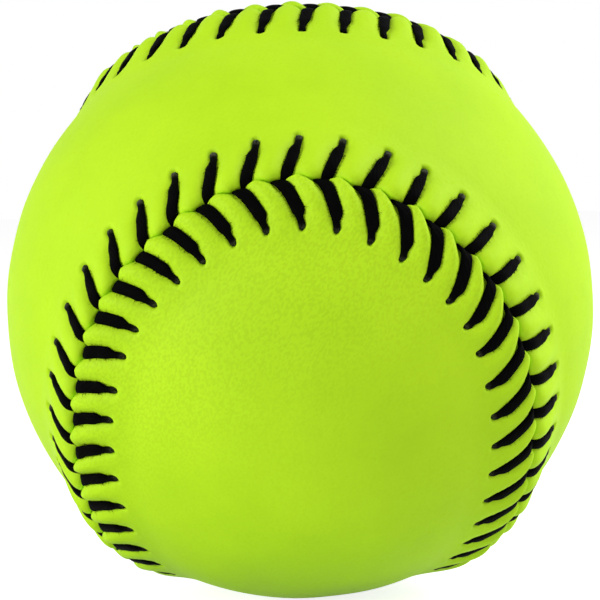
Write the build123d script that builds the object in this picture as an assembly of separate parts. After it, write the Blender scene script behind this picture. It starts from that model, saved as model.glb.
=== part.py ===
"""Twelve-inch softball: a moulded core, its cement coat, two leather panels and two strands of thread.

Millimetres and degrees, +Z up, origin at the centre of the ball. The seam is laid out about its own
axis, which runs through the waists of both panels, and the finished ball is tipped at the end.
"""

import os
from math import acos, atan, atan2, cos, degrees, radians, sin, tan

from build123d import *

# Layers of the ball
COVER_RADIUS = 48.0
LEATHER_THICKNESS = 1.6
CEMENT_THICKNESS = 0.3
LAYER_GAP = 0.05

# Seam line, as angles at the centre of the ball
LOBE_LATITUDE = 22.2
LOBE_RADIUS = 42.7
SEAM_TILT = 50.0

# Raised lips beside the seam, across the smooth leather and above it
LIP_CREST = 2.6
LIP_FOOT = 6.4
LIP_HEIGHT = 1.6
CREASE_HEIGHT = 0.95
LIP_ROOT_DEPTH = 0.4

# Stitching: each leg leans along the seam by this share of a stitch before it dives
STITCH_COUNT = 88
HOLE_ROW = 7.4
THREAD_WIDTH = 1.1
THREAD_THICKNESS = 0.6
THREAD_GAP = 0.2
LOWER_LEAN = 0.6
UPPER_LEAN = 0.3

# Sizes that follow from those
LINING_RADIUS = COVER_RADIUS - LEATHER_THICKNESS
COAT_RADIUS = LINING_RADIUS - LAYER_GAP
CORE_RADIUS = COAT_RADIUS - CEMENT_THICKNESS - LAYER_GAP
SEAM_GAP = THREAD_THICKNESS + 2 * THREAD_GAP
HOLE_WIDTH = THREAD_WIDTH + 2 * THREAD_GAP
HOLE_HEIGHT = THREAD_THICKNESS + 2 * THREAD_GAP
HOLE_DEPTH = 1.5 * LEATHER_THICKNESS
TUNNEL_RADIUS = LINING_RADIUS + THREAD_THICKNESS + 2 * THREAD_GAP
TUNNEL_REACH = HOLE_ROW + HOLE_HEIGHT
BELOW_LINING = LINING_RADIUS - LEATHER_THICKNESS
UNDER_RADIUS = LINING_RADIUS + THREAD_GAP + THREAD_THICKNESS / 2

CENTRE = (0, 0, 0)
LOWER, UPPER = 1, -1


class SeamArc:
    """Part of the seam that turns about an axis through the ball's centre, the lower panel on its left."""

    def __init__(self, axis, start, turn):
        self.axis = axis
        self.polar = radians(axis.get_angle(start))
        self.spoke = (start - axis * start.dot(axis)).normalized()
        self.turn = turn
        self.length = radians(turn) * sin(self.polar)

    def plane(self, along):
        """Section plane: x to the lower panel, y out of the ball, z along the seam."""
        spoke = self.spoke.rotate(Axis(CENTRE, self.axis), along)
        out = self.axis * cos(self.polar) + spoke * sin(self.polar)
        tangent = self.axis.cross(spoke)
        return Plane(CENTRE, x_dir=out.cross(tangent), z_dir=tangent)

    def point(self, along):
        """Point of the seam on a ball of radius one."""
        return self.plane(along).y_dir


def on_unit_ball(latitude, longitude):
    return Vector(1, 0, 0).rotate(Axis.Y, -latitude).rotate(Axis.Z, longitude)


def lobe_half_turn():
    """Turn of the seam about a lobe's centre, from its tip to where it runs straight to the next lobe."""
    half_way = acos(-sin(radians(LOBE_LATITUDE)) ** 2) / 2
    bearing = 90 + degrees(atan(sin(radians(LOBE_LATITUDE))))
    return bearing - degrees(acos(tan(radians(LOBE_RADIUS)) / tan(half_way)))


def lobe_arc(number):
    """Rounded end of a panel: lobes 0 and 2 are the lower panel's, 1 and 3 the upper panel's."""
    side = LOWER if number % 2 == 0 else UPPER
    longitude = -90 * number
    axis = on_unit_ball(side * LOBE_LATITUDE, longitude) * side
    tip = on_unit_ball(side * (LOBE_LATITUDE + LOBE_RADIUS), longitude)
    start = tip.rotate(Axis(CENTRE, axis), -lobe_half_turn())
    return SeamArc(axis, start, 2 * lobe_half_turn())


def straight_arc(lobe, next_lobe):
    """Great-circle stretch that touches two neighbouring lobes."""
    start = lobe.point(lobe.turn)
    end = next_lobe.point(0)
    return SeamArc(start.cross(end).normalized(), start, start.get_angle(end))


def seam_arcs():
    lobes = [lobe_arc(number) for number in range(4)]
    arcs = []
    for number, lobe in enumerate(lobes):
        arcs += [lobe, straight_arc(lobe, lobes[(number + 1) % 4])]
    return arcs


SEAM = seam_arcs()
SEAM_LENGTH = sum(arc.length for arc in SEAM)


def stitch_plane(stitch):
    """Section plane at a number of stitches, whole or not, past the tip of the first lobe."""
    distance = (stitch / STITCH_COUNT * SEAM_LENGTH + SEAM[0].length / 2) % SEAM_LENGTH
    for arc in SEAM:
        if distance <= arc.length:
            break
        distance -= arc.length
    return arc.plane(degrees(distance / sin(arc.polar)))


def in_section(across, radius):
    """Place in a section plane of what lies so far across the smooth leather and out from the centre."""
    angle = across / COVER_RADIUS
    return Vector(radius * sin(angle), radius * cos(angle))


def lip_arc(side):
    """Round outside of one raised lip, from the crease over the seam to its root in the leather."""
    crease = in_section(0, COVER_RADIUS + CREASE_HEIGHT)
    crest = in_section(side * LIP_CREST, COVER_RADIUS + LIP_HEIGHT)
    root = in_section(side * LIP_FOOT, COVER_RADIUS - LIP_ROOT_DEPTH)
    return ThreePointArc(crease, crest, root)


def lips_profile():
    lower, upper = lip_arc(LOWER), lip_arc(UPPER)
    middle = in_section(0, COVER_RADIUS - LEATHER_THICKNESS / 2)
    return make_face([lower, upper, Polyline(lower @ 1, middle, upper @ 1)])


def channel_profile(half_width, top, crown):
    """Section of a channel cut from inside the ball: straight walls under an arched roof."""
    walls = Polyline(
        (-half_width, top),
        (-half_width, BELOW_LINING),
        (half_width, BELOW_LINING),
        (half_width, top),
    )
    roof = ThreePointArc(walls @ 0, (0, crown), walls @ 1)
    return make_face([walls, roof])


def tunnel_profile():
    """Room for the thread under both lips, where the leather arches from one hole row to the other."""
    spring = in_section(TUNNEL_REACH, TUNNEL_RADIUS)
    return channel_profile(spring.X, spring.Y, TUNNEL_RADIUS + CREASE_HEIGHT)


def gap_profile():
    """Slot between the edges of the two panels."""
    above_lips = COVER_RADIUS + LIP_HEIGHT + LEATHER_THICKNESS
    return channel_profile(SEAM_GAP / 2, above_lips, above_lips + SEAM_GAP / 2)


def along_seam(profile):
    """One closed ring: the section turned about the axis of every arc of the seam."""
    ring = Part()
    for arc in SEAM:
        ring += revolve(arc.plane(0) * profile, Axis(CENTRE, arc.axis), arc.turn)
    return ring


def stitch_holes(side):
    """Slits for the thread, through one panel, in a row beside the seam."""
    holes = []
    for number in range(STITCH_COUNT):
        section = stitch_plane(number)
        out = section.from_local_coords(in_section(side * HOLE_ROW, 1))
        mouth = Plane(out * COVER_RADIUS, x_dir=section.z_dir, z_dir=out)
        holes.append(mouth * Box(HOLE_WIDTH, HOLE_HEIGHT, HOLE_DEPTH))
    return holes


def cover_panels():
    """The two figure-eight panels: one raised, hollowed shell, parted along the seam and pricked."""
    cover = Sphere(COVER_RADIUS) - Sphere(LINING_RADIUS)
    cover += along_seam(lips_profile())
    cover -= along_seam(tunnel_profile())
    cover -= along_seam(gap_profile())
    in_lower = on_unit_ball(LOBE_LATITUDE, 0) * (COVER_RADIUS - LEATHER_THICKNESS / 2)
    first, second = cover.solids()
    lower, upper = (first, second) if first.is_inside(in_lower) else (second, first)
    return lower - stitch_holes(LOWER), upper - stitch_holes(UPPER)


def leg_bends(side):
    """Corners of a thread leg from below its hole, over the lip and down the seam, in its section plane."""
    lip = lip_arc(LOWER)
    lip_centre = lip.arc_center
    reach = lip.radius + THREAD_GAP + THREAD_THICKNESS / 2
    crease, root = lip @ 0 - lip_centre, lip @ 1 - lip_centre
    first, last = atan2(root.Y, root.X), atan2(crease.Y, crease.X)
    quarter = (last - first) / 4
    corner_reach = reach / cos(quarter)
    over = []
    for angle in (first + quarter, last - quarter):
        over.append(lip_centre + Vector(cos(angle), sin(angle)) * corner_reach)
    dive = lip_centre.Y + (reach + lip_centre.X * cos(last)) / sin(last)
    mouth = in_section(HOLE_ROW, COVER_RADIUS + THREAD_GAP + THREAD_THICKNESS / 2)
    bends = [in_section(HOLE_ROW, UNDER_RADIUS), mouth, *over, Vector(0, dive), Vector(0, UNDER_RADIUS)]
    return [Vector(side * bend.X, bend.Y) for bend in bends]


def strand_route(first_side):
    """Places (stitch, corner) of one strand, which sews to and fro between the panels all round the ball."""
    route = []
    for number in range(STITCH_COUNT):
        side = first_side if number % 2 == 0 else -first_side
        lean = LOWER_LEAN if side == LOWER else UPPER_LEAN
        bends = leg_bends(side)
        for bend in bends:
            route.append((number + lean * (1 - bend.X / bends[0].X), bend))
    tail = in_section(first_side * HOLE_ROW / 2, UNDER_RADIUS)
    route.append((STITCH_COUNT - (1 - lean) / 2, tail))
    return route


def thread_sections(route):
    """Corner points of the flat strand's mitred section at every bend of its route."""
    corners = [Vector(0, UNDER_RADIUS)] + [corner for _, corner in route]
    corners.append(corners[-1] * 2 - corners[-2])
    half_width = Vector(0, 0, THREAD_WIDTH / 2)
    sections = []
    for number, (stitch, corner) in enumerate(route, start=1):
        before = (corner - corners[number - 1]).normalized()
        after = (corners[number + 1] - corner).normalized()
        normal = Vector(-before.Y - after.Y, before.X + after.X).normalized()
        half_thickness = normal * (THREAD_THICKNESS / 2 / normal.dot(Vector(-before.Y, before.X)))
        outline = [
            corner + half_thickness + half_width,
            corner + half_thickness - half_width,
            corner - half_thickness - half_width,
            corner - half_thickness + half_width,
        ]
        sections.append([stitch_plane(stitch).from_local_coords(point) for point in outline])
    return sections


def sewing_thread(first_side):
    """One unbroken strand of ruled faces; its two ends lie loose under the leather."""
    sections = thread_sections(strand_route(first_side))
    faces = [Face(Wire.make_polygon(end)) for end in (sections[0], sections[-1])]
    for here, there in zip(sections, sections[1:]):
        for corner in range(4):
            edge = Edge.make_line(here[corner - 1], here[corner])
            next_edge = Edge.make_line(there[corner - 1], there[corner])
            faces.append(Face.make_surface_from_curves(edge, next_edge))
    return Solid(Shell(faces))


def make_softball():
    lower, upper = cover_panels()
    return {
        "core": Sphere(CORE_RADIUS),
        "cement_coat": Sphere(COAT_RADIUS) - Sphere(COAT_RADIUS - CEMENT_THICKNESS),
        "cover_panel_lower": lower,
        "cover_panel_upper": upper,
        "sewing_thread_first": sewing_thread(LOWER),
        "sewing_thread_second": sewing_thread(UPPER),
    }


# The seam's axis leans towards -Y, so that a lobe of the lower panel faces forward and down
tilt = radians(SEAM_TILT)
stance = Plane(CENTRE, x_dir=(0, -sin(tilt), -cos(tilt)), z_dir=(0, -cos(tilt), sin(tilt)))
os.makedirs("parts", exist_ok=True)
for node, shape in make_softball().items():
    export_step(stance.location * shape, f"parts/{node}.step")
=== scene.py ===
"""Looks of a sewn softball: two leather panels, two waxed threads that join them, and the inside."""

import math

import bpy
import numpy as np
from mathutils import Matrix, Vector
from mathutils.geometry import delaunay_2d_cdt


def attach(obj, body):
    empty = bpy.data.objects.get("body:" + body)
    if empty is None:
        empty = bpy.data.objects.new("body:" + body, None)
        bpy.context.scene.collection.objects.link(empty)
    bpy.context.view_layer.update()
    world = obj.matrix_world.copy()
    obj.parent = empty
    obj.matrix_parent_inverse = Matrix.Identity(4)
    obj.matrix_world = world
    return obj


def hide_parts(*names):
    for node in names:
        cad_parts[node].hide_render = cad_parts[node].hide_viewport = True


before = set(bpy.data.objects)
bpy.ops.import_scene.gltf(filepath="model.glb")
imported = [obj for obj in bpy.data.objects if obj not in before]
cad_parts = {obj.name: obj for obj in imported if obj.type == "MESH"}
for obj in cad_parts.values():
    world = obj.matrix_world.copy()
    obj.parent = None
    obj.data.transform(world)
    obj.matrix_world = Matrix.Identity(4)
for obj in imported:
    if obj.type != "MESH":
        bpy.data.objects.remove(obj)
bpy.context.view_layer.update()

# Sizes of the ball, in millimetres and radians. The seam's line is that of the part's source.
MM = 0.001
BALL_RADIUS = 48.0
LEATHER_THICKNESS = 1.6
LOBE_LATITUDE = math.radians(22.2)
LOBE_RADIUS = math.radians(42.7)
SEAM_TILT = math.radians(50.0)
STITCH_COUNT = 88
STITCHES_PER_LOBE = 22
LOBE_COUNT = STITCH_COUNT // STITCHES_PER_LOBE
HOLE_ROW = 6.95
LOWER, UPPER = 1, -1
DIVE_LEAN = {LOWER: 0.6, UPPER: 0.3}

# The raised lips beside the seam, and the tunnel under them.
LIP_CREST = 1.5
LIP_HEIGHT = 2.45
LIP_FOOT = 11.5
LIP_SLACK = 0.8
CREASE_HEIGHT = 1.55
CREASE_SWING = 0.40
CREASE_NEAR, CREASE_FAR = 0.22, 0.60
CREASE_FADE = 2.6
LIP_GAP = 0.04
NOTCH_DEPTH = 0.22
NOTCH_WIDTH = 0.9
NOTCH_FADE = 0.8
TUNNEL_HALF_WIDTH = 8.8
TUNNEL_FADE = 2.4
TUNNEL_DEPTH = 0.78

# How the pull of the thread shapes the leather. The rim's place is in half sizes of the pit.
GROOVE_DEPTH = 1.05
GROOVE_CREST = 2.5
GROOVE_END = 1.3
GROOVE_HALF_WIDTH = 0.85
GROOVE_BLUNTNESS = 0.7
PILLOW_BLUNTNESS = 0.8
PILLOW_UNEVEN = 0.08
PILLOW_UNEVEN_END, PILLOW_UNEVEN_FADE = 5.5, 4.0
PIT_DEPTH = 0.6
PIT_HALF_WIDTH = 0.42
PIT_HALF_LENGTH = 0.68
PIT_PAST_HOLE = 0.3
SLIT_DEPTH = 0.55
SLIT_HALF_WIDTH = 0.62
SLIT_LENGTH = 2.3
RIM_HEIGHT = 0.06
RIM_AT, RIM_SPREAD = 1.9, 0.6
WRINKLE_HEIGHT = 0.035
WRINKLE_SPACING = 0.75
WRINKLE_SLANT = 0.9
WRINKLE_REACH, WRINKLE_SPREAD = 1.35, 0.5
WRINKLE_START, WRINKLE_RISE, WRINKLE_FALL = 0.8, 1.5, 2.0
RIPPLE_HEIGHT = 0.011
RIPPLE_WAVES = 20
RIPPLE_LENGTH = (9.0, 30.0)

# The hide's grain, coarser towards one end of the lower panel, and the darker tint beside the legs, partly
# soil and partly painted shade of the grooves they lie in.
SMOOTH_HIDE = 0.2
COARSE_LEAN = 2.0
COARSE_START = -44.0
COARSE_SPAN = 55.0
SOIL_AND_SHADE_HALF_WIDTH = 1.5
SOIL_AND_SHADE_PAST_HOLE, SOIL_AND_SHADE_FADE = 1.5, 2.5

# Uneven sewing: the holes of a lobe slip round its tip, those of a waist the other way.
LOBE_SLIP = 0.22
WAIST_SLIP = 0.14
FAR_SLIP = 0.12
HOLE_UNEVEN = 0.02
ROW_UNEVEN = 0.12
ROW_SHIFT = {LOWER: -0.05, UPPER: 0.2}

# The legs at the left of the front lobe are drawn tight and bow.
DRAWN_AT, DRAWN_SPAN = 7.5, 4.0
ROW_DRAWN = 0.5
DIVE_DRAWN = {LOWER: 0.0, UPPER: 0.11}
NECK_DRAWN = {LOWER: 0.0, UPPER: 0.6}
BOW_DRAWN = {LOWER: 0.0, UPPER: 0.45}

# The legs at its right are full almost to their holes.
FULL_AT, FULL_SPAN = 79.0, 6.0
NECK_FULL = {LOWER: 0.75, UPPER: 0.45}
SHOULDER_FULL = {LOWER: 0.9, UPPER: -0.5}
WIDTH_FULL = {LOWER: 0.15, UPPER: 0.05}
BOW_FULL = {LOWER: 0.35, UPPER: 0.0}

# The front lobe is pulled a little square: the seam sways towards the upper panel at its tip and sides.
SWAY_MEAN = -0.19
SWAY_WAVE = -0.51
SWAY_PERIOD = 8.86
SWAY_FULL, SWAY_END = 10.0, 14.0

# The thread's section: round at the neck by the hole, flat over the lip, narrow where it tucks in.
NECK_HALF_WIDTH = 0.52
LEG_HALF_WIDTH = {LOWER: 0.98, UPPER: 0.9}
TUCK_HALF_WIDTH = 0.62
NECK_HALF_THICKNESS = 0.44
LEG_HALF_THICKNESS = 0.37
TUCK_HALF_THICKNESS = 0.27
NECK_LENGTH = {LOWER: 0.8, UPPER: 1.0}
SHOULDER_LENGTH = {LOWER: 1.2, UPPER: 1.8}
SHOULDER_SHIFT = {LOWER: -0.6, UPPER: 0.6}
LEG_STRAIGHT = {LOWER: 0.7, UPPER: 0.45}
NARROW_START, NARROW_SPAN = 0.4, 1.5
THIN_START, THIN_SPAN = 0.3, 1.2
SWELL_LENGTH = 0.8
BOXINESS = 0.85
PLY_COUNT = 3
PLY_RELIEF = 0.014
PLY_TURN = 4.2

# The thread's course: reach from the crease, or from the row of holes, and height over the ball.
THREAD_SEAT = 0.3
THREAD_UNDER = -1.2
STRAND_FOOT = -0.95
STRAND_THROAT = -0.35
STRAND_PAST_HOLE = 0.34
BEND_PAST_HOLE = 0.12
BEND_SEAT = 0.6
BEND_SLIT = 0.2
BEND_SINK = 0.05
LEG_START, LEG_END = 0.75, 0.5
LEG_KNOTS = 9
TUCK_EDGE = 0.12
TUCK_DROPS = ((0.1, 0.1), (-0.3, 0.75))
TUCK_FOOT = -0.9
UNDER_START, UNDER_END = -1.8, 0.7
RISE_PAST_HOLE = 0.1

# Painted grey glints on the thread where it bends into the holes round the front lobe, and loose fibres.
GLINT_FROM = {LOWER: 0.1, UPPER: 0.65}
GLINT_FADE = 0.6
GLINT_STITCHES = 26
GLINT_LAST = 6
LINT_PER_LEG = 32
LINT_LENGTH = (0.35, 1.05)
LINT_HALF_WIDTH = 0.036
LINT_ROOT = 0.9
LINT_SPREAD = (0.5, 0.3)
SPIKE_CORNERS = 3
SPIKE_POINTS = SPIKE_CORNERS + 1
SPIKE_SIDES = ((0, 1, 3), (1, 2, 3), (2, 0, 3), (0, 2, 1))

# Fineness of the meshes. An even field gives each point the triangle share of its spacing squared.
COLUMNS_PER_STITCH = 20
COLUMNS = STITCH_COUNT * COLUMNS_PER_STITCH
BAND_ROWS = 47
BAND_WIDTH = 12.4
BAND_GRADING = 1.4
FIELD_SPACING, FIELD_MARGIN = 1.15, 0.6
LINING_SPACING, LINING_MARGIN = 2.6, 0.7
TRIANGLE_SHARE = 0.866
WALL_ROWS = 3
SECTION_POINTS = 18
LEG_SAMPLES = 30
TUCK_SAMPLES = 12
LEAN_STEP = 0.05
POINTS_AT_ONCE = 1500
INSIDE_ONLY = 1
SAME_PLACE = 1e-9
SHARP_ANGLE = math.radians(70)
SEED = 88

# The leather's finish: colours, scales per metre, and how much each pattern counts.
DYE = ((0.505, 0.835, 0.013, 1), (0.555, 0.89, 0.016, 1))
# Painted shade: the grain's valleys are darkened in the colour as well as bumped.
VALLEY_SHADE_COLOUR, VALLEY_SHADE_SHARE = (0.31, 0.56, 0.006, 1), 0.22
PORE_COLOUR, PORE_SHARE = (0.33, 0.58, 0.012, 1), 0.05
# Darker beside the legs: partly soil from the thread, partly painted shade of the grooves the legs press.
SOIL_AND_SHADE_COLOUR, SOIL_AND_SHADE_SHARE = (0.21, 0.34, 0.02, 1), 0.10
GRAIN_TURN = math.radians(57)
GRAIN_STRETCH = (0.6, 1.0, 1.0)
DRAWN_SCALE, DRAWN_RELIEF = 2700.0, 0.9
PEBBLE_SCALE, PEBBLE_RELIEF = 1500.0, 0.4
PEBBLE_SMOOTHNESS = 0.6
FINE_SCALE, FINE_RELIEF = 2600.0, 0.25
HIDE_SCALE, HIDE_EDGES = 55.0, (0.3, 0.7)
PORE_SCALE, PORE_EDGES = 1700.0, (0.60, 0.72)
SOIL_AND_SHADE_SCALE, SOIL_AND_SHADE_EDGES = 420.0, (0.40, 0.75)
VALLEY_EDGES = (0.60, 0.36)
NOISE_MIDDLE = 0.5
GRAIN_STRENGTH, GRAIN_DEPTH = 0.55, 0.00012
LEATHER_ROUGHNESS, LEATHER_SPECULAR = 0.6, 0.16
HIDE_DULLING, PORE_DULLING, SOIL_AND_SHADE_DULLING = 0.2, 0.15, 0.1

# The thread's finish.
WAX, STREAK_SHARE = ((0.0007, 0.0009, 0.0007, 1), (0.0028, 0.0033, 0.0026, 1)), 0.6
# Painted glint: the grey painted on the thread's ends where they bend into the holes.
GLINT_COLOUR, GLINT_SHARE = (0.13, 0.14, 0.09, 1), 0.75
FIBRES_ROUND, FIBRES_ALONG = 9.0, 5.0
FUZZ_SCALE, FUZZ_EDGES = 3200.0, (0.36, 0.58)
STREAK_SCALE, STREAK_EDGES = 900.0, (0.5, 0.8)
FIBRE_RELIEF, FUZZ_RELIEF = 0.25, 0.75
LAY_STRENGTH, LAY_DEPTH = 0.5, 0.00014
THREAD_ROUGHNESS, THREAD_SPECULAR = 0.55, 0.018
FUZZ_DULLING = 0.25

# The finishes inside the ball.
FOAM = ((0.66, 0.57, 0.38, 1), (0.74, 0.66, 0.47, 1))
CELL_SCALE = 900.0
CLOUD_SCALE, CLOUD_EDGES = 40.0, (0.3, 0.7)
SKIN_STRENGTH, SKIN_DEPTH = 0.3, 0.0002
FOAM_ROUGHNESS, CLOUD_DULLING = 0.75, 0.1
LATEX = ((0.62, 0.57, 0.42, 1), (0.74, 0.70, 0.57, 1))
BRUSH_STRETCH = (1.0, 1.0, 6.0)
BRUSH_SCALE, BRUSH_EDGES = 120.0, (0.3, 0.7)
STREAKS_STRENGTH, STREAKS_DEPTH = 0.4, 0.0003
LATEX_ROUGHNESS, BRUSH_DULLING = 0.4, 0.3

# The studio, in metres. The camera's rise is a share of the photograph's 600 pixels.
CAMERA_DISTANCE = 0.4076
CAMERA_LENS = 148.3
CAMERA_RISE = 5.5 / 600.0
CAMERA_CLIP = (0.01, 50.0)
CAMERA_BACK = Vector((-0.0086, -0.9983, 0.0575))
CAMERA_UP = Vector((0.0155, 0.0573, 0.9982))
FLOOR_HALF_SIZE = 3.0
FLOOR_LEVEL = -0.0481
FLOOR_COLOUR = (0.74, 0.74, 0.74, 1)
FLOOR_GLOW = (0.82, 0.82, 0.82, 1)
ROOM_LIGHT = 0.2
WHITE = (1, 1, 1, 1)
SOFT_LAMPS = (
    ("right_box", (0.9, 0.2, 0.4), 0.7, 3.2),
    ("top_right_box", (0.6, -0.1, 0.65), 0.7, 4.6),
    ("left_front_box", (-0.75, -0.55, 0.22), 0.5, 4.95),
    ("left_box", (-0.95, 0.0, 0.3), 0.6, 1.4),
    ("front_fill", (-0.35, -0.85, 0.16), 0.4, 0.4),
)

chance = np.random.default_rng(SEED)


def eased(share):
    """Zero to one with a soft start and end."""
    held = np.clip(share, 0.0, 1.0)
    return held * held * (3.0 - 2.0 * held)


def soft_bump(off):
    """One at nought, falling softly on both sides."""
    return np.exp(-(off ** 2))


def flat_bump(off):
    """One at nought, with a flat top and steep sides near one."""
    return np.exp(-(off ** 4))


# The seam: eight arcs round the ball, walked by distance, lower panel on the left.
def compass(latitude, longitude):
    """Unit arrow at a latitude and longitude about the seam's own axis."""
    level = math.cos(latitude)
    return np.array([level * math.cos(longitude), level * math.sin(longitude), math.sin(latitude)])


def turned(arrow, axis, angles):
    """An arrow turned about an axis by each of the angles."""
    cosine = np.cos(angles)[:, None]
    sine = np.sin(angles)[:, None]
    return arrow * cosine + np.cross(axis, arrow) * sine + axis * (axis @ arrow) * (1.0 - cosine)


class SeamArc:
    """A piece of the seam: a circle's arc about an axis through the ball's centre."""

    def __init__(self, axis, start, turn):
        self.axis = axis
        self.start = start
        self.turn = turn
        self.length = BALL_RADIUS * turn * math.sqrt(1.0 - (axis @ start) ** 2)

    def end(self):
        return turned(self.start, self.axis, np.array([self.turn]))[0]


def lobe_arc(number):
    """The rounded end of one panel's lobe."""
    side = LOWER if number % 2 == 0 else UPPER
    longitude = -math.pi / 2 * number
    axis = side * compass(side * LOBE_LATITUDE, longitude)
    tip = compass(side * (LOBE_LATITUDE + LOBE_RADIUS), longitude)
    half_span = math.acos(-math.sin(LOBE_LATITUDE) ** 2) / 2
    tilt = math.atan(math.sin(LOBE_LATITUDE))
    half_turn = math.pi / 2 + tilt - math.acos(math.tan(LOBE_RADIUS) / math.tan(half_span))
    start = turned(tip, axis, np.array([-half_turn]))[0]
    return SeamArc(axis, start, 2 * half_turn)


def straight_arc(start, end):
    """The straight run of the seam from one lobe to the next."""
    across = np.cross(start, end)
    size = np.linalg.norm(across)
    return SeamArc(across / size, start, math.atan2(size, start @ end))


def seam_arcs():
    lobes = [lobe_arc(number) for number in range(LOBE_COUNT)]
    arcs = []
    for number, lobe in enumerate(lobes):
        following = lobes[(number + 1) % LOBE_COUNT]
        arcs += [lobe, straight_arc(lobe.end(), following.start)]
    return arcs


SEAM = seam_arcs()
SEAM_STARTS = np.concatenate([[0.0], np.cumsum([arc.length for arc in SEAM])])
SEAM_LENGTH = SEAM_STARTS[-1]
PITCH = SEAM_LENGTH / STITCH_COUNT


def seam_frames(distances):
    """Outward, forward and leftward arrows of the seam at distances from the first lobe's tip."""
    walked = (distances + SEAM[0].length / 2) % SEAM_LENGTH
    which = np.searchsorted(SEAM_STARTS, walked, side="right") - 1
    which = np.clip(which, 0, len(SEAM) - 1)
    outward = np.zeros(walked.shape + (3,))
    forward = np.zeros(walked.shape + (3,))
    for index, arc in enumerate(SEAM):
        here = which == index
        angles = (walked[here] - SEAM_STARTS[index]) / arc.length * arc.turn
        outward[here] = turned(arc.start, arc.axis, angles)
        forward[here] = np.cross(arc.axis, outward[here])
    forward /= np.linalg.norm(forward, axis=-1, keepdims=True)
    return outward, forward, np.cross(outward, forward)


def seam_sway(distances):
    """How far the sewn seam has been pulled to the left of its cut line."""
    past_tip = (distances / PITCH + STITCH_COUNT / 2) % STITCH_COUNT - STITCH_COUNT / 2
    wave = SWAY_MEAN + SWAY_WAVE * np.cos(2 * math.pi * past_tip / SWAY_PERIOD)
    return wave * eased((SWAY_END - np.abs(past_tip)) / (SWAY_END - SWAY_FULL))


def off_seam(distances, across, heights):
    """Points at distances along the seam, across it to the left, and above the ball."""
    outward, _, left = seam_frames(distances)
    angle = ((across + seam_sway(distances)) / BALL_RADIUS)[..., None]
    return (outward * np.cos(angle) + left * np.sin(angle)) * (BALL_RADIUS + heights)[..., None]


def as_it_lies(points):
    """Points of the seam's frame as the ball lies in the photograph, in metres."""
    sine, cosine = math.sin(SEAM_TILT), math.cos(SEAM_TILT)
    stance = np.array([[0.0, -sine, -cosine], [1.0, 0.0, 0.0], [0.0, -cosine, sine]])
    return points @ stance * MM


# The stitching: where each hole is and where each leg tucks into the crease.
def hole_slip(side):
    """How far each hole of a panel has slipped along the seam, in pitches."""
    stitch = np.arange(STITCH_COUNT)
    lobe = np.round(stitch / STITCHES_PER_LOBE)
    past_tip = stitch - lobe * STITCHES_PER_LOBE
    swing = np.sin(2 * math.pi * past_tip / STITCHES_PER_LOBE)
    has_lobe = (lobe % 2 == 0) == (side == LOWER)
    far = 0.5 - 0.5 * np.cos(2 * math.pi * stitch / STITCH_COUNT)
    return np.where(has_lobe, LOBE_SLIP, -WAIST_SLIP) * swing + FAR_SLIP * far


class Stitching:
    """One panel's row of holes and its thread legs."""

    def __init__(self, side):
        self.side = side
        stitch = np.arange(STITCH_COUNT)
        drawn = soft_bump((stitch - DRAWN_AT) / DRAWN_SPAN)
        full = soft_bump((stitch - FULL_AT) / FULL_SPAN)
        uneven = chance.normal(0.0, HOLE_UNEVEN, (2, STITCH_COUNT))
        self.hole = (stitch + hole_slip(side) + uneven[0]) * PITCH
        self.dive = (stitch + DIVE_LEAN[side] - DIVE_DRAWN[side] * drawn + uneven[1]) * PITCH
        self.row = HOLE_ROW + ROW_SHIFT[side] - ROW_DRAWN * drawn
        self.row += chance.normal(0.0, ROW_UNEVEN, STITCH_COUNT)
        self.neck = NECK_LENGTH[side] + NECK_DRAWN[side] * drawn - NECK_FULL[side] * full
        self.neck_half_width = NECK_HALF_WIDTH + WIDTH_FULL[side] * full
        self.shoulder = SHOULDER_LENGTH[side] + SHOULDER_FULL[side] * full
        self.straight = LEG_STRAIGHT[side] - BOW_DRAWN[side] * drawn - BOW_FULL[side] * full
        from_tip = np.minimum(stitch, STITCH_COUNT - stitch)
        # How much painted grey glint each stitch's thread gets: only round the front lobe.
        self.glint_strength = eased((GLINT_STITCHES - from_tip) / GLINT_LAST)
        self.fullness = 1.0 + chance.normal(0.0, PILLOW_UNEVEN, STITCH_COUNT)
        self.wrinkle_start = chance.uniform(0.0, 2 * math.pi, STITCH_COUNT)

    def leg_line(self, stitch, reach):
        """Distance along the seam of a leg's middle, at a reach from the crease."""
        share = np.clip(1.0 - reach / self.row[stitch], 0.0, 1.0)
        straight = self.straight[stitch]
        bend = straight * share + (1.0 - straight) * share * share
        wide = self.half_width(stitch, self.row[stitch] - reach)
        shift = SHOULDER_SHIFT[self.side] * (wide - NECK_HALF_WIDTH)
        return self.hole[stitch] + (self.dive[stitch] - self.hole[stitch]) * bend + shift

    def half_width(self, stitch, from_hole):
        """Half the width of a leg at a distance from its hole: a round neck, then a flat body."""
        flat = LEG_HALF_WIDTH[self.side]
        body = eased((from_hole - self.neck[stitch]) / self.shoulder[stitch])
        tuck = eased((from_hole - HOLE_ROW - NARROW_START) / NARROW_SPAN)
        narrow = self.neck_half_width[stitch]
        wide = narrow + (flat - narrow) * body
        return wide + (TUCK_HALF_WIDTH - flat) * tuck * body


STITCHING = {side: Stitching(side) for side in (LOWER, UPPER)}


def crease_shift(distances):
    """How far the crease swings to the left of the seam's line, a skewed wave in step with the stitches."""
    phase = distances / PITCH - CREASE_NEAR
    phase = phase - np.floor(phase)
    rising = CREASE_FAR - CREASE_NEAR
    climb = math.pi * phase / rising
    fall = math.pi + math.pi * (phase - rising) / (1.0 - rising)
    return -CREASE_SWING * np.cos(np.where(phase < rising, climb, fall))


def tuck_notch(side, distances):
    """How far a lip's edge stands back where the other panel's legs tuck under it."""
    phase = distances / PITCH - DIVE_LEAN[-side]
    off = (phase - np.round(phase)) * PITCH / NOTCH_WIDTH
    return NOTCH_DEPTH * flat_bump(off)


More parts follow.
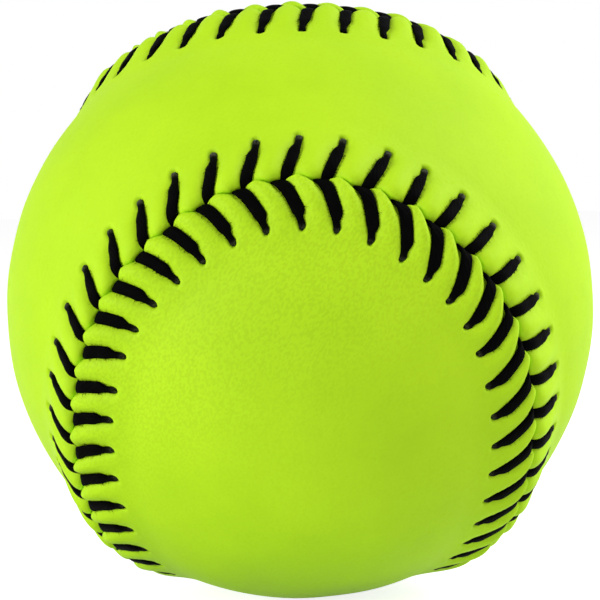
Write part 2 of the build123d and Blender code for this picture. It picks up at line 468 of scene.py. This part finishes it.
def across_seam(side, distances, reach):
    """Distance across the seam's line of a point on one side, at a reach from the crease."""
    near = soft_bump(reach / CREASE_FADE)
    edge = soft_bump(reach / NOTCH_FADE)
    stand_back = (LIP_GAP / 2 + tuck_notch(side, distances)) * edge
    return side * (reach + stand_back) + crease_shift(distances) * near


# The leather's height over the ball.
def lip_top(reach):
    """Height of the lip between stitches: a tight roll at the crease, a long fall to the smooth leather."""
    rise = np.clip(reach / LIP_CREST, 0.0, 1.0)
    roll = CREASE_HEIGHT + (LIP_HEIGHT - CREASE_HEIGHT) * np.sqrt(1.0 - (1.0 - rise) ** 2)
    fall = np.clip((reach - LIP_CREST) / (LIP_FOOT - LIP_CREST), 0.0, 1.0)
    slope = LIP_HEIGHT * (0.5 + 0.5 * np.cos(math.pi * fall ** LIP_SLACK))
    return np.where(reach < LIP_CREST, roll, slope)


def groove_depth(reach):
    """How deep a leg presses into the lip."""
    end = HOLE_ROW + GROOVE_END
    share = np.clip((end - reach) / (end - GROOVE_CREST), 0.0, 1.0)
    return GROOVE_DEPTH * eased(share ** GROOVE_BLUNTNESS)


def slit_depth(from_hole):
    """How deep a leg's neck sinks between the leather on its way into the hole."""
    return SLIT_DEPTH * eased(1.0 - from_hole / SLIT_LENGTH)


RIPPLE_ARROWS = chance.normal(size=(RIPPLE_WAVES, 3))
RIPPLE_ARROWS /= np.linalg.norm(RIPPLE_ARROWS, axis=1, keepdims=True)
RIPPLE_LENGTHS = chance.uniform(*RIPPLE_LENGTH, RIPPLE_WAVES)
RIPPLE_STARTS = chance.uniform(0.0, 2 * math.pi, RIPPLE_WAVES)


def slow_ripple(points):
    """Slight unevenness of hide stretched by hand over the core."""
    total = np.zeros(points.shape[:-1])
    for arrow, length, start in zip(RIPPLE_ARROWS, RIPPLE_LENGTHS, RIPPLE_STARTS):
        total += np.cos(points @ arrow * (2 * math.pi / length) + start)
    return RIPPLE_HEIGHT * total


def nearest_leg(stitching, columns, reach):
    """For one row: distance to the nearest leg, that leg, the leg before, and half the legs' spacing."""
    stitch = np.arange(STITCH_COUNT)
    line = stitching.leg_line(stitch, reach)
    runs = np.concatenate([line - SEAM_LENGTH, line, line + SEAM_LENGTH])
    after = np.searchsorted(runs, columns)
    before_off = columns - runs[after - 1]
    after_off = runs[after] - columns
    nearer_before = before_off < after_off
    leg = np.where(nearer_before, after - 1, after) % STITCH_COUNT
    off = np.where(nearer_before, before_off, -after_off)
    room = (before_off + after_off) / 2
    return off, leg, (after - 1) % STITCH_COUNT, room


def wrinkles(stitching, leg, off, aside, reach):
    """Height of the fine wrinkles beside a leg."""
    beside = soft_bump((aside - WRINKLE_REACH) / WRINKLE_SPREAD)
    within = eased((reach - WRINKLE_START) / WRINKLE_RISE) * eased((HOLE_ROW - reach) / WRINKLE_FALL)
    turn = 2 * math.pi * reach / WRINKLE_SPACING
    wave = np.sin(turn + stitching.wrinkle_start[leg] + WRINKLE_SLANT * off)
    return WRINKLE_HEIGHT * wave * beside * within


def lip_row(stitching, columns, reach):
    """Heights of one row of a panel, and how near its points are to a leg."""
    off, leg, pillow, room = nearest_leg(stitching, columns, reach)
    out_there = stitching.leg_line(leg, reach + LEAN_STEP)
    in_there = stitching.leg_line(leg, reach - LEAN_STEP)
    lean = (out_there - in_there) / (2 * LEAN_STEP)
    slant = np.sqrt(1.0 + lean * lean)
    aside = np.abs(off) / slant
    half_room = room / slant
    swell = np.clip((aside - GROOVE_HALF_WIDTH) / (half_room - GROOVE_HALF_WIDTH), 0.0, 1.0)
    pillow_top = np.sin(math.pi / 2 * swell) ** PILLOW_BLUNTNESS
    near_crease = eased((PILLOW_UNEVEN_END - reach) / PILLOW_UNEVEN_FADE)
    fullness = 1.0 + (stitching.fullness[pillow] - 1.0) * near_crease
    heights = lip_top(np.full_like(columns, reach)) - groove_depth(reach) * (1.0 - pillow_top * fullness)
    along_hole = (reach - stitching.row[leg] - PIT_PAST_HOLE) / PIT_HALF_LENGTH
    over_slit = flat_bump(aside / SLIT_HALF_WIDTH) * flat_bump(np.maximum(along_hole, 0.0))
    heights -= slit_depth(stitching.row[leg] - reach) * over_slit
    around_hole = np.hypot(off / PIT_HALF_WIDTH, along_hole)
    heights -= PIT_DEPTH * flat_bump(around_hole)
    heights += RIM_HEIGHT * soft_bump((around_hole - RIM_AT) / RIM_SPREAD)
    heights += wrinkles(stitching, leg, off, aside, reach)
    # Where the darker tint beside the legs goes: partly soil, partly painted groove shade.
    along_leg = eased((HOLE_ROW + SOIL_AND_SHADE_PAST_HOLE - reach) / SOIL_AND_SHADE_FADE)
    return heights, soft_bump(aside / SOIL_AND_SHADE_HALF_WIDTH) * along_leg


# The panels' meshes.
def golden_field(spacing):
    """Evenly spread unit arrows all over a ball, about a spacing apart."""
    count = int(4 * math.pi * BALL_RADIUS ** 2 / (spacing * spacing * TRIANGLE_SHARE))
    index = np.arange(count) + 0.5
    height = 1.0 - 2.0 * index / count
    longitude = math.pi * (1.0 + math.sqrt(5.0)) * index
    level = np.sqrt(1.0 - height * height)
    return np.stack([level * np.cos(longitude), level * np.sin(longitude), height], axis=1)


SEAM_SAMPLES = np.arange(COLUMNS) * (SEAM_LENGTH / COLUMNS)
SAMPLE_OUT = off_seam(SEAM_SAMPLES, np.zeros(COLUMNS), np.zeros(COLUMNS)) / BALL_RADIUS
SAMPLE_LEFT = seam_frames(SEAM_SAMPLES)[2]


def reach_from_seam(arrows):
    """Signed distance from the seam of points on the ball, to the left positive."""
    batches = []
    for batch in np.array_split(arrows, max(1, len(arrows) // POINTS_AT_ONCE)):
        closeness = batch @ SAMPLE_OUT.T
        best = closeness.argmax(axis=1)
        left = np.sign((batch * SAMPLE_LEFT[best]).sum(axis=1))
        batches.append(left * BALL_RADIUS * np.arccos(np.clip(closeness.max(axis=1), -1.0, 1.0)))
    return np.concatenate(batches)


def flattened(side, points):
    """Points of a panel laid flat from its waist, keeping circles round."""
    arrows = points / np.linalg.norm(points, axis=1, keepdims=True)
    away = 1.0 - side * arrows[:, 2]
    return arrows[:, :2] / away[:, None]


def filled(side, rim, inside, outward):
    """Triangles that fill a rim with the points inside it, facing outward or inward."""
    together = np.concatenate([rim, inside])
    flat = [Vector(place) for place in flattened(side, together)]
    loop = list(range(len(rim)))
    made = delaunay_2d_cdt(flat, [], [loop], INSIDE_ONLY, SAME_PLACE)
    origin = np.array([source[0] for source in made[3]])
    triangles = origin[np.array(made[2])]
    corner = together[triangles]
    normal = np.cross(corner[:, 1] - corner[:, 0], corner[:, 2] - corner[:, 0])
    faces_out = (normal * corner[:, 0]).sum(axis=1) > 0
    wrong = faces_out != outward
    triangles[wrong] = triangles[wrong][:, ::-1]
    return triangles


def ring_quads(first, second):
    """Quads between two rings of as many points."""
    return np.stack([first, np.roll(first, -1), np.roll(second, -1), second], axis=1)


def lining_height(reach):
    """The leather's underside: flat on the lining, hollow beside the seam where thread runs below it."""
    hollow = 1.0 - eased((np.abs(reach) - TUNNEL_HALF_WIDTH) / TUNNEL_FADE)
    return -LEATHER_THICKNESS + TUNNEL_DEPTH * hollow


def coarseness(side, points):
    """How coarse the hide's grain is: the lower panel was cut where it changes from coarse to smooth."""
    if side == UPPER:
        return np.full(len(points), SMOOTH_HIDE)
    place = as_it_lies(points) / MM
    along_hide = COARSE_LEAN * place[:, 2] - place[:, 0]
    return SMOOTH_HIDE + (1.0 - SMOOTH_HIDE) * eased((along_hide - COARSE_START) / COARSE_SPAN)


def panel_band(side):
    """The rows of points beside the seam, and how near each point is to a leg."""
    shares = np.arange(BAND_ROWS) / (BAND_ROWS - 1)
    rows = []
    nearness = []
    for reach in BAND_WIDTH * shares ** BAND_GRADING:
        heights, near = lip_row(STITCHING[side], SEAM_SAMPLES, reach)
        across = across_seam(side, SEAM_SAMPLES, np.full(COLUMNS, reach))
        ground = off_seam(SEAM_SAMPLES, across, np.zeros(COLUMNS))
        rows.append(off_seam(SEAM_SAMPLES, across, heights + slow_ripple(ground)))
        nearness.append(near)
    return rows, np.concatenate(nearness)


def panel_field(side):
    """Points of the smooth leather inside those rows."""
    field = golden_field(FIELD_SPACING)
    depth = side * reach_from_seam(field)
    field = field[depth > BAND_WIDTH + FIELD_SPACING * FIELD_MARGIN] * BALL_RADIUS
    return field + field / BALL_RADIUS * slow_ripple(field)[:, None]


def panel_walls(side):
    """Rows of points down the cut edge, from the crease to the underside."""
    edge = across_seam(side, SEAM_SAMPLES, np.zeros(COLUMNS))
    top, _ = lip_row(STITCHING[side], SEAM_SAMPLES, 0.0)
    foot = lining_height(np.zeros(COLUMNS))
    walls = []
    for step in range(1, WALL_ROWS + 1):
        share = step / WALL_ROWS
        walls.append(off_seam(SEAM_SAMPLES, edge, top + (foot - top) * share))
    return walls


def panel_lining(side):
    """Points of the underside."""
    lining = golden_field(LINING_SPACING)
    depth = side * reach_from_seam(lining)
    inner = depth > LINING_SPACING * LINING_MARGIN
    return lining[inner] * (BALL_RADIUS + lining_height(depth[inner]))[:, None]


def panel_mesh(side):
    """Points and faces of one leather panel, closed all round, and what its finish needs to know."""
    rows, nearness = panel_band(side)
    field = panel_field(side)
    walls = panel_walls(side)
    lining = panel_lining(side)
    points = np.concatenate(rows + [field] + walls + [lining])
    rim_start = (BAND_ROWS - 1) * COLUMNS
    field_start = BAND_ROWS * COLUMNS
    wall_start = field_start + len(field)
    foot_start = wall_start + (WALL_ROWS - 1) * COLUMNS
    count = np.arange(COLUMNS)
    quads = []
    for row in range(BAND_ROWS - 1):
        quads.append(ring_quads(count + row * COLUMNS, count + (row + 1) * COLUMNS))
    above = count
    for step in range(WALL_ROWS):
        below = count + wall_start + step * COLUMNS
        quads.append(ring_quads(below, above))
        above = below
    quads = np.concatenate(quads)
    if side == UPPER:
        quads = quads[:, ::-1]
    outer = filled(side, rows[-1], field, True) + rim_start
    under = filled(side, walls[-1], lining, False) + foot_start
    faces = quads.tolist() + outer.tolist() + under.tolist()
    leg_near = np.zeros(len(points))
    leg_near[:field_start] = nearness
    return points, faces, {"leg_near": leg_near, "coarse": coarseness(side, points)}


# The threads' meshes.
def thread_seat(reach):
    """Height of a leg's middle over the ball: in the groove that it presses."""
    return lip_top(reach) - groove_depth(reach) + THREAD_SEAT


def smooth_through(knots, samples):
    """Points of a smooth line through knots, evenly sampled by the knots' own spacing."""
    before = np.concatenate([[2 * knots[0] - knots[1]], knots[:-2]])
    start, end = knots[:-1], knots[1:]
    after = np.concatenate([knots[2:], [2 * knots[-1] - knots[-2]]])
    lengths = np.linalg.norm(end - start, axis=1)
    marks = np.concatenate([[0.0], np.cumsum(lengths)])
    walked = np.linspace(0.0, marks[-1], samples, endpoint=False)
    span = np.clip(np.searchsorted(marks, walked, side="right") - 1, 0, len(lengths) - 1)
    share = ((walked - marks[span]) / lengths[span])[:, None]
    spread = (end - before)[span] / 2
    arrive = (after - start)[span] / 2
    rise = share * share * (3.0 - 2.0 * share)
    leave = share * (1.0 - share) ** 2
    come = share * share * (share - 1.0)
    return start[span] * (1.0 - rise) + end[span] * rise + spread * leave + arrive * come


def leg_course(row, next_row):
    """Reach from the crease and height of a leg: out of its hole, over its lip, down and under."""
    bend = float(thread_seat(np.array(row - BEND_SEAT)) - slit_depth(BEND_SLIT))
    rise = row + STRAND_PAST_HOLE
    knots = [(rise, STRAND_FOOT), (rise, STRAND_THROAT), (row + BEND_PAST_HOLE, bend - BEND_SINK)]
    for reach in np.linspace(row - LEG_START, LEG_END, LEG_KNOTS):
        knots.append((reach, float(thread_seat(np.array(reach)) - slit_depth(row - reach))))
    crease = float(thread_seat(np.array(TUCK_EDGE)))
    for reach, drop in TUCK_DROPS:
        knots.append((reach, crease - drop))
    knots.append((TUCK_FOOT, STRAND_FOOT))
    visible = smooth_through(np.array(knots), LEG_SAMPLES)
    under = [
        (TUCK_FOOT, STRAND_FOOT),
        (UNDER_START, THREAD_UNDER),
        (-next_row / 2, THREAD_UNDER),
        (UNDER_END - next_row, THREAD_UNDER),
        (-RISE_PAST_HOLE - next_row, THREAD_UNDER - BEND_SINK),
        (-next_row - STRAND_PAST_HOLE, STRAND_FOOT),
    ]
    hidden = smooth_through(np.array(under), TUCK_SAMPLES)
    return np.concatenate([visible, hidden])


def leg_section(own, stitch, reach, rising):
    """Half the width and thickness of a strand along one leg and on to the next hole."""
    half_width = own.half_width(stitch, own.row[stitch] - reach)
    half_width = half_width + (NECK_HALF_WIDTH - TUCK_HALF_WIDTH) * rising
    flat = (half_width - NECK_HALF_WIDTH) / (LEG_HALF_WIDTH[own.side] - NECK_HALF_WIDTH)
    on_lip = NECK_HALF_THICKNESS + (LEG_HALF_THICKNESS - NECK_HALF_THICKNESS) * flat
    tucked = eased((THIN_START - reach) / THIN_SPAN) * (1.0 - rising)
    return half_width, on_lip + (TUCK_HALF_THICKNESS - on_lip) * tucked


def strand_line(first_side):
    """One thread's middle line all the way round: place, seam's run, section, way past its hole, painted
    glint.
    """
    places, forwards, widths, thicknesses, past_holes, painted_glint = [], [], [], [], [], []
    for stitch in range(STITCH_COUNT):
        side = first_side if stitch % 2 == 0 else -first_side
        own, other = STITCHING[side], STITCHING[-side]
        following = (stitch + 1) % STITCH_COUNT
        lap = SEAM_LENGTH if following == 0 else 0.0
        next_row = other.row[following]
        course = leg_course(own.row[stitch], next_row)
        reach, height = course[:, 0], course[:, 1]
        on_top = own.leg_line(stitch, np.maximum(reach, 0.0))
        onward = np.clip(-reach / next_row, 0.0, 1.0)
        below = on_top + (other.hole[following] + lap - own.dive[stitch]) * eased(onward)
        along = np.where(reach > 0.0, on_top, below)
        across = side * reach + crease_shift(along) * soft_bump(reach / CREASE_FADE)
        rising = eased((onward * next_row - next_row + SWELL_LENGTH) / SWELL_LENGTH)
        half_width, half_thickness = leg_section(own, stitch, reach, rising)
        past_hole = own.row[stitch] - reach
        places.append(off_seam(along, across, height))
        forwards.append(seam_frames(along)[1])
        widths.append(half_width)
        thicknesses.append(half_thickness)
        past_holes.append(past_hole)
        # Painted glint: grey painted on the thread near its hole.
        painted_glint.append(own.glint_strength[stitch] * eased((GLINT_FROM[side] - past_hole) / GLINT_FADE))
    kinds = (places, forwards, widths, thicknesses, past_holes, painted_glint)
    return tuple(np.concatenate(kind) for kind in kinds)


def lint(root, pointing, first):
    """Loose fibres: thin closed spikes from their roots, with points numbered from the first."""
    pointing = pointing / np.linalg.norm(pointing, axis=1, keepdims=True)
    one_way = np.cross(pointing, [0.0, 0.0, 1.0])
    one_way /= np.linalg.norm(one_way, axis=1, keepdims=True)
    other_way = np.cross(pointing, one_way)
    corners = []
    for angle in np.arange(SPIKE_CORNERS) * (2 * math.pi / SPIKE_CORNERS):
        corners.append(root + LINT_HALF_WIDTH * (one_way * math.cos(angle) + other_way * math.sin(angle)))
    corners.append(root + pointing * chance.uniform(*LINT_LENGTH, len(root))[:, None])
    base = first + SPIKE_POINTS * np.arange(len(root))[:, None]
    faces = base[:, :, None] + np.array(SPIKE_SIDES)
    return np.stack(corners, axis=1).reshape(-1, 3), faces.reshape(-1, 3).tolist()


def strand_arrows(places, forwards):
    """Arrows along a strand, across its width and through its thickness."""
    ahead = np.roll(places, -1, axis=0) - np.roll(places, 1, axis=0)
    ahead /= np.linalg.norm(ahead, axis=1, keepdims=True)
    aside = forwards - ahead * (forwards * ahead).sum(axis=1, keepdims=True)
    aside /= np.linalg.norm(aside, axis=1, keepdims=True)
    return ahead, aside, np.cross(ahead, aside)


def boxed(wave):
    """A sine wave with slightly squared shoulders."""
    return np.sign(wave) * np.abs(wave) ** BOXINESS


def thread_mesh(first_side):
    """Points and faces of one thread, and what its finish needs to know at each point."""
    places, forwards, widths, thicknesses, past_holes, painted_glint = strand_line(first_side)
    ahead, aside, over = strand_arrows(places, forwards)
    steps = np.linalg.norm(places - np.roll(places, 1, axis=0), axis=1)
    steps[0] = 0.0
    walked = np.cumsum(steps)
    turns = round(walked[-1] / PLY_TURN)
    twist = walked / walked[-1] * turns * 2 * math.pi
    angles = np.arange(SECTION_POINTS) * (2 * math.pi / SECTION_POINTS)
    ply = 1.0 + PLY_RELIEF * np.cos(PLY_COUNT * angles[None, :] + twist[:, None])
    offset_wide = (widths[:, None] * boxed(np.cos(angles))[None, :] * ply)[..., None]
    offset_high = (thicknesses[:, None] * boxed(np.sin(angles))[None, :] * ply)[..., None]
    points = places[:, None, :] + aside[:, None, :] * offset_wide + over[:, None, :] * offset_high
    points = points.reshape(-1, 3)
    count = np.arange(SECTION_POINTS)
    quads = []
    for section in range(len(places)):
        following = (section + 1) % len(places)
        quads.append(ring_quads(count + section * SECTION_POINTS, count + following * SECTION_POINTS))
    faces = np.concatenate(quads)[:, ::-1].tolist()
    on_lip = np.flatnonzero((past_holes > NECK_HALF_WIDTH) & (past_holes < HOLE_ROW - NECK_HALF_WIDTH))
    rooted = chance.choice(on_lip, LINT_PER_LEG * STITCH_COUNT)
    edge = chance.choice((-1.0, 1.0), len(rooted))[:, None]
    root = places[rooted] + aside[rooted] * edge * widths[rooted][:, None] * LINT_ROOT
    spread = chance.normal(0.0, LINT_SPREAD, (len(rooted), 2))
    pointing = aside[rooted] * edge + ahead[rooted] * spread[:, :1] + over[rooted] * np.abs(spread[:, 1:])
    lint_points, lint_faces = lint(root, pointing, len(points))
    lint_walked = np.repeat(walked[rooted], SPIKE_POINTS)
    on_lint = np.zeros(len(lint_points))
    recorded = {
        "length_walked": np.concatenate([np.repeat(walked, SECTION_POINTS), lint_walked]),
        "round_it": np.concatenate([np.tile(angles, len(places)), on_lint]),
        "painted_glint": np.concatenate([np.repeat(painted_glint, SECTION_POINTS), on_lint]),
    }
    return np.concatenate([points, lint_points]), faces + lint_faces, recorded


# The finishes.
class Number:
    """One number that a finish works out at each point; sums with it add their own nodes."""

    def __init__(self, finish, socket):
        self.finish = finish
        self.socket = socket

    def reckon(self, operation, first, second):
        return self.finish.number("ShaderNodeMath", {"operation": operation}, {0: first, 1: second})

    def __add__(self, other):
        return self.reckon("ADD", self, other)

    def __radd__(self, other):
        return self.reckon("ADD", other, self)

    def __sub__(self, other):
        return self.reckon("SUBTRACT", self, other)

    def __rsub__(self, other):
        return self.reckon("SUBTRACT", other, self)

    def __mul__(self, other):
        return self.reckon("MULTIPLY", self, other)

    def greater(self, other):
        return self.reckon("MAXIMUM", self, other)


class Shading:
    """A tree of shading nodes, made for a surface or for the room."""

    def __init__(self, owner):
        owner.use_nodes = True
        self.tree = owner.node_tree
        self.tree.nodes.clear()

    def node(self, kind, settings, sockets):
        """A node of a kind: its settings first, then the values or links of its sockets."""
        made = self.tree.nodes.new(kind)
        for name, value in settings.items():
            setattr(made, name, value)
        for name, value in sockets.items():
            if isinstance(value, Number):
                value = value.socket
            if isinstance(value, bpy.types.NodeSocket):
                self.tree.links.new(value, made.inputs[name])
            else:
                made.inputs[name].default_value = value
        return made

    def number(self, kind, settings, sockets, output=0):
        return Number(self, self.node(kind, settings, sockets).outputs[output])

    def seen_directly(self):
        """One where the camera looks at it, also in a mirror or through glass; zero for other light."""
        path = self.node("ShaderNodeLightPath", {}, {})
        camera_ray = Number(self, path.outputs["Is Camera Ray"])
        mirrored = Number(self, path.outputs["Is Glossy Ray"])
        through = Number(self, path.outputs["Is Transmission Ray"])
        return camera_ray.greater(mirrored).greater(through)


class Finish(Shading):
    """One procedural material."""

    def __init__(self, name):
        self.material = bpy.data.materials.new(name)
        super().__init__(self.material)

    def blended(self, share, first, second):
        """Two colours mixed by a share."""
        settings = {"data_type": "RGBA"}
        return self.node("ShaderNodeMix", settings, {"Factor": share, 6: first, 7: second}).outputs[2]

    def noise(self, place, scale, detail=2.0, roughness=0.5):
        sockets = {"Vector": place, "Scale": scale, "Detail": detail, "Roughness": roughness}
        return self.number("ShaderNodeTexNoise", {}, sockets, "Fac")

    def between(self, value, low, high):
        """How far a number is on its way from low to high."""
        settings = {"interpolation_type": "SMOOTHSTEP"}
        sockets = {"Value": value, "From Min": low, "From Max": high}
        return self.number("ShaderNodeMapRange", settings, sockets)

    def bumped(self, strength, depth, relief):
        """The surface's direction, roughened by a relief."""
        sockets = {"Strength": strength, "Distance": depth, "Height": relief}
        return self.node("ShaderNodeBump", {}, sockets).outputs[0]

    def place(self):
        return self.node("ShaderNodeTexCoord", {}, {}).outputs["Object"]

    def recorded(self, name):
        """A number recorded on the mesh at each point."""
        return self.number("ShaderNodeAttribute", {"attribute_name": name}, {}, "Fac")

    def surface(self, settings):
        shader = self.node("ShaderNodeBsdfPrincipled", {}, settings)
        self.node("ShaderNodeOutputMaterial", {}, {"Surface": shader.outputs[0]})
        return self.material


def leather_finish():
    """Optic yellow grain leather: soft pebbles, faint mottling, painted shade in the grain's valleys, and a
    darker tint beside the legs that is partly soil and partly painted groove shade.
    """
    finish = Finish("cover_leather")
    place = finish.place()
    turn = {"Vector": place, "Rotation": (0.0, GRAIN_TURN, 0.0)}
    turned_place = finish.node("ShaderNodeMapping", {}, turn).outputs[0]
    stretch = {0: turned_place, 1: GRAIN_STRETCH}
    drawn_place = finish.node("ShaderNodeVectorMath", {"operation": "MULTIPLY"}, stretch).outputs[0]
    coarse = finish.recorded("coarse")
    leg_near = finish.recorded("leg_near")
    drawn_grain = finish.noise(drawn_place, DRAWN_SCALE, detail=1.0, roughness=0.4)
    cells = {"Vector": drawn_place, "Scale": PEBBLE_SCALE, "Smoothness": PEBBLE_SMOOTHNESS}
    pebbles = finish.number("ShaderNodeTexVoronoi", {"feature": "SMOOTH_F1"}, cells)
    fine_grain = finish.noise(place, FINE_SCALE, detail=3.0, roughness=0.6)
    hide = finish.noise(place, HIDE_SCALE, detail=3.0, roughness=0.55)
    pore = finish.between(finish.noise(place, PORE_SCALE, detail=1.0), *PORE_EDGES)
    # Darker tint beside the legs: partly soil, partly painted shade of the grooves.
    soil_and_shade = leg_near * finish.between(finish.noise(place, SOIL_AND_SHADE_SCALE, detail=3.0), *SOIL_AND_SHADE_EDGES)
    valley = finish.between(drawn_grain, *VALLEY_EDGES) * coarse
    dyed = finish.blended(finish.between(hide, *HIDE_EDGES), *DYE)
    # Painted shade: darker colour in the grain's valleys, where the bump's shade falls.
    valley_shaded = finish.blended(valley * VALLEY_SHADE_SHARE, dyed, VALLEY_SHADE_COLOUR)
    pitted = finish.blended(pore * PORE_SHARE, valley_shaded, PORE_COLOUR)
    soiled_and_shaded = finish.blended(soil_and_shade * SOIL_AND_SHADE_SHARE, pitted, SOIL_AND_SHADE_COLOUR)
    even_relief = (1.0 - pebbles) * PEBBLE_RELIEF + fine_grain * FINE_RELIEF
    relief = even_relief + drawn_grain * coarse * DRAWN_RELIEF
    mottled = LEATHER_ROUGHNESS + (hide - NOISE_MIDDLE) * HIDE_DULLING
    return finish.surface({
        "Base Color": soiled_and_shaded,
        "Roughness": mottled + pore * PORE_DULLING + soil_and_shade * SOIL_AND_SHADE_DULLING,
        "Normal": finish.bumped(GRAIN_STRENGTH, GRAIN_DEPTH, relief),
        "Specular IOR Level": LEATHER_SPECULAR,
    })


def thread_finish():
    """Black waxed thread: twisted fibres, a dull sheen, and grey glints painted at its ends where it bends
    into its holes.
    """
    finish = Finish("waxed_thread")
    place = finish.place()
    walked = finish.recorded("length_walked")
    round_it = finish.recorded("round_it")
    twist = round_it * FIBRES_ROUND + walked * FIBRES_ALONG
    fibres = finish.number("ShaderNodeMath", {"operation": "SINE"}, {0: twist})
    fuzz = finish.noise(place, FUZZ_SCALE, detail=3.0, roughness=0.65)
    streak = finish.between(finish.noise(place, STREAK_SCALE), *STREAK_EDGES)
    # Painted glint: grey painted on the thread's ends by its holes.
    bend = finish.recorded("painted_glint") * finish.between(fuzz, *FUZZ_EDGES)
    waxed = finish.blended(streak * STREAK_SHARE, *WAX)
    relief = fibres * FIBRE_RELIEF + fuzz * FUZZ_RELIEF
    return finish.surface({
        "Base Color": finish.blended(bend * GLINT_SHARE, waxed, GLINT_COLOUR),
        "Roughness": THREAD_ROUGHNESS + fuzz * FUZZ_DULLING,
        "Normal": finish.bumped(LAY_STRENGTH, LAY_DEPTH, relief),
        "Specular IOR Level": THREAD_SPECULAR,
    })


def core_finish():
    """Moulded foam with a dull skin and fine closed cells."""
    finish = Finish("core_foam")
    place = finish.place()
    cells = finish.number("ShaderNodeTexVoronoi", {}, {"Vector": place, "Scale": CELL_SCALE})
    cloud = finish.between(finish.noise(place, CLOUD_SCALE, detail=3.0), *CLOUD_EDGES)
    return finish.surface({
        "Base Color": finish.blended(cloud, *FOAM),
        "Roughness": FOAM_ROUGHNESS + cloud * CLOUD_DULLING,
        "Normal": finish.bumped(SKIN_STRENGTH, SKIN_DEPTH, cells),
    })


def cement_finish():
    """Dried latex cement, brushed on unevenly."""
    finish = Finish("cement")
    stretch = {"Vector": finish.place(), "Scale": BRUSH_STRETCH}
    brush_place = finish.node("ShaderNodeMapping", {}, stretch).outputs[0]
    brush = finish.noise(brush_place, BRUSH_SCALE, detail=4.0, roughness=0.6)
    return finish.surface({
        "Base Color": finish.blended(finish.between(brush, *BRUSH_EDGES), *LATEX),
        "Roughness": LATEX_ROUGHNESS + brush * BRUSH_DULLING,
        "Normal": finish.bumped(STREAKS_STRENGTH, STREAKS_DEPTH, brush),
    })


# Putting the pieces in the scene.
def piece(name, points, faces, recorded, material):
    """A smooth mesh object riding on the ball."""
    mesh = bpy.data.meshes.new(name)
    mesh.from_pydata(as_it_lies(points).tolist(), [], faces)
    for label, values in recorded.items():
        mesh.attributes.new(label, "FLOAT", "POINT").data.foreach_set("value", values.astype(np.float32))
    mesh.polygons.foreach_set("use_smooth", [True] * len(mesh.polygons))
    mesh.materials.append(material)
    mesh.validate()
    mesh.update()
    made = bpy.data.objects.new(name, mesh)
    bpy.context.scene.collection.objects.link(made)
    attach(made, "root")
    return made


def cover(leather):
    for side, name in ((LOWER, "cover_panel_lower"), (UPPER, "cover_panel_upper")):
        points, faces, recorded = panel_mesh(side)
        panel = piece(name.replace("cover", "leather"), points, faces, recorded, leather)
        panel.data.set_sharp_from_angle(angle=SHARP_ANGLE)
        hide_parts(name)


def sewing(waxed):
    for side, name in ((LOWER, "sewing_thread_first"), (UPPER, "sewing_thread_second")):
        points, faces, recorded = thread_mesh(side)
        thread = piece(name.replace("sewing", "waxed"), points, faces, recorded, waxed)
        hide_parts(name)


def inside_of_ball():
    for name, material in (("core", core_finish()), ("cement_coat", cement_finish())):
        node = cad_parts[name]
        node.data.materials.clear()
        node.data.materials.append(material)


# The studio.
def camera():
    data = bpy.data.cameras.new("camera")
    data.lens = CAMERA_LENS
    data.shift_y = CAMERA_RISE
    data.clip_start, data.clip_end = CAMERA_CLIP
    made = bpy.data.objects.new("camera", data)
    back = CAMERA_BACK.normalized()
    right = CAMERA_UP.cross(back).normalized()
    up = back.cross(right)
    pose = Matrix((right, up, back)).transposed().to_4x4()
    pose.translation = back * CAMERA_DISTANCE
    made.matrix_world = pose
    bpy.context.scene.collection.objects.link(made)
    bpy.context.scene.camera = made


def soft_lamp(name, place, size, power):
    """A round soft box that faces the ball."""
    data = bpy.data.lights.new(name, "AREA")
    data.shape = "DISK"
    data.size = size
    data.energy = power
    made = bpy.data.objects.new(name, data)
    made.location = place
    made.rotation_mode = "QUATERNION"
    made.rotation_quaternion = Vector(place).to_track_quat("Z", "Y")
    made.visible_camera = False
    bpy.context.scene.collection.objects.link(made)


def white_room():
    """Plain soft light all round, white where the camera looks past the ball."""
    world = bpy.data.worlds.new("white_room")
    room = Shading(world)
    strength = ROOM_LIGHT + room.seen_directly() * (1.0 - ROOM_LIGHT)
    light = room.node("ShaderNodeBackground", {}, {"Color": WHITE, "Strength": strength})
    room.node("ShaderNodeOutputWorld", {}, {"Surface": light.outputs[0]})
    bpy.context.scene.world = world


def floor():
    """A pale floor, white to the camera, that keeps the ball's shadow."""
    near, far = -FLOOR_HALF_SIZE, FLOOR_HALF_SIZE
    corners = [(near, near), (far, near), (far, far), (near, far)]
    mesh = bpy.data.meshes.new("floor")
    mesh.from_pydata([(across, along, FLOOR_LEVEL) for across, along in corners], [], [(0, 1, 2, 3)])
    finish = Finish("floor")
    pale = finish.node("ShaderNodeBsdfDiffuse", {}, {"Color": FLOOR_COLOUR})
    glow = finish.node("ShaderNodeEmission", {}, {"Color": FLOOR_GLOW})
    lit = finish.node("ShaderNodeAddShader", {}, {0: pale.outputs[0], 1: glow.outputs[0]})
    either = {0: finish.seen_directly(), 1: pale.outputs[0], 2: lit.outputs[0]}
    shown = finish.node("ShaderNodeMixShader", {}, either)
    finish.node("ShaderNodeOutputMaterial", {}, {"Surface": shown.outputs[0]})
    mesh.materials.append(finish.material)
    made = bpy.data.objects.new("floor", mesh)
    bpy.context.scene.collection.objects.link(made)


cover(leather_finish())
sewing(thread_finish())
inside_of_ball()
camera()
for lamp in SOFT_LAMPS:
    soft_lamp(*lamp)
white_room()
floor()

bpy.context.scene.view_settings.view_transform = "Standard"
